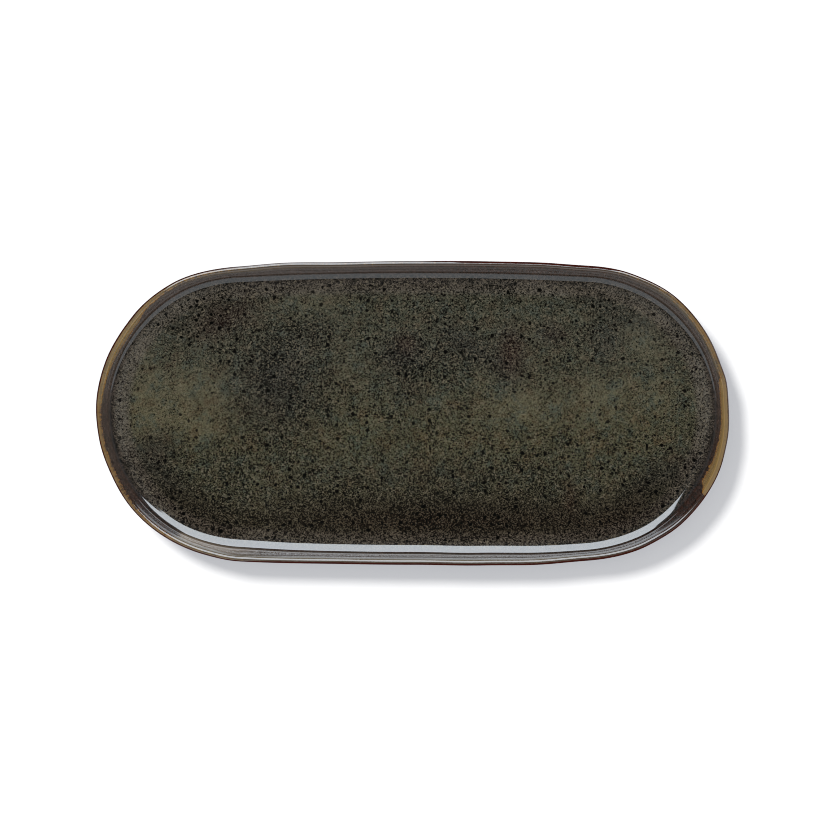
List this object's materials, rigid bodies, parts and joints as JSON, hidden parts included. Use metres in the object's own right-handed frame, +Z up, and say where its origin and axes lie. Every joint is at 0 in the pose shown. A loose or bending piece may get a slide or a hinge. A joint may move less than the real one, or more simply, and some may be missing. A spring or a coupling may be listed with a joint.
{
  "type": "tapas plate",
  "caption": "Shallow oval tapas plate in glazed stoneware, with a flat speckled floor, a rounded cove, an upright wall, a thin lip and a bare foot ring.",
  "frame": {"origin": "middle of the foot, on the table", "axes": "+X along the long side, +Y across the plate towards its far side, +Z up out of the well"},
  "size_m": [0.3, 0.145, 0.02],
  "materials": {
    "clay": "bare fired stoneware, matt",
    "floor_glaze": "glossy olive reactive glaze, finely speckled",
    "wall_glaze": "glossy dark brown reactive glaze",
    "lip_glaze": "glossy glaze that breaks amber and dark red",
    "outer_glaze": "glossy dark brown glaze",
    "base_glaze": "glossy brown glaze"
  },
  "bodies": {
    "root": {"stoneware_body": "clay", "floor_glaze": "floor_glaze", "wall_glaze": "wall_glaze", "lip_glaze": "lip_glaze", "outer_glaze": "outer_glaze", "base_glaze": "base_glaze"}
  },
  "joints": []
}
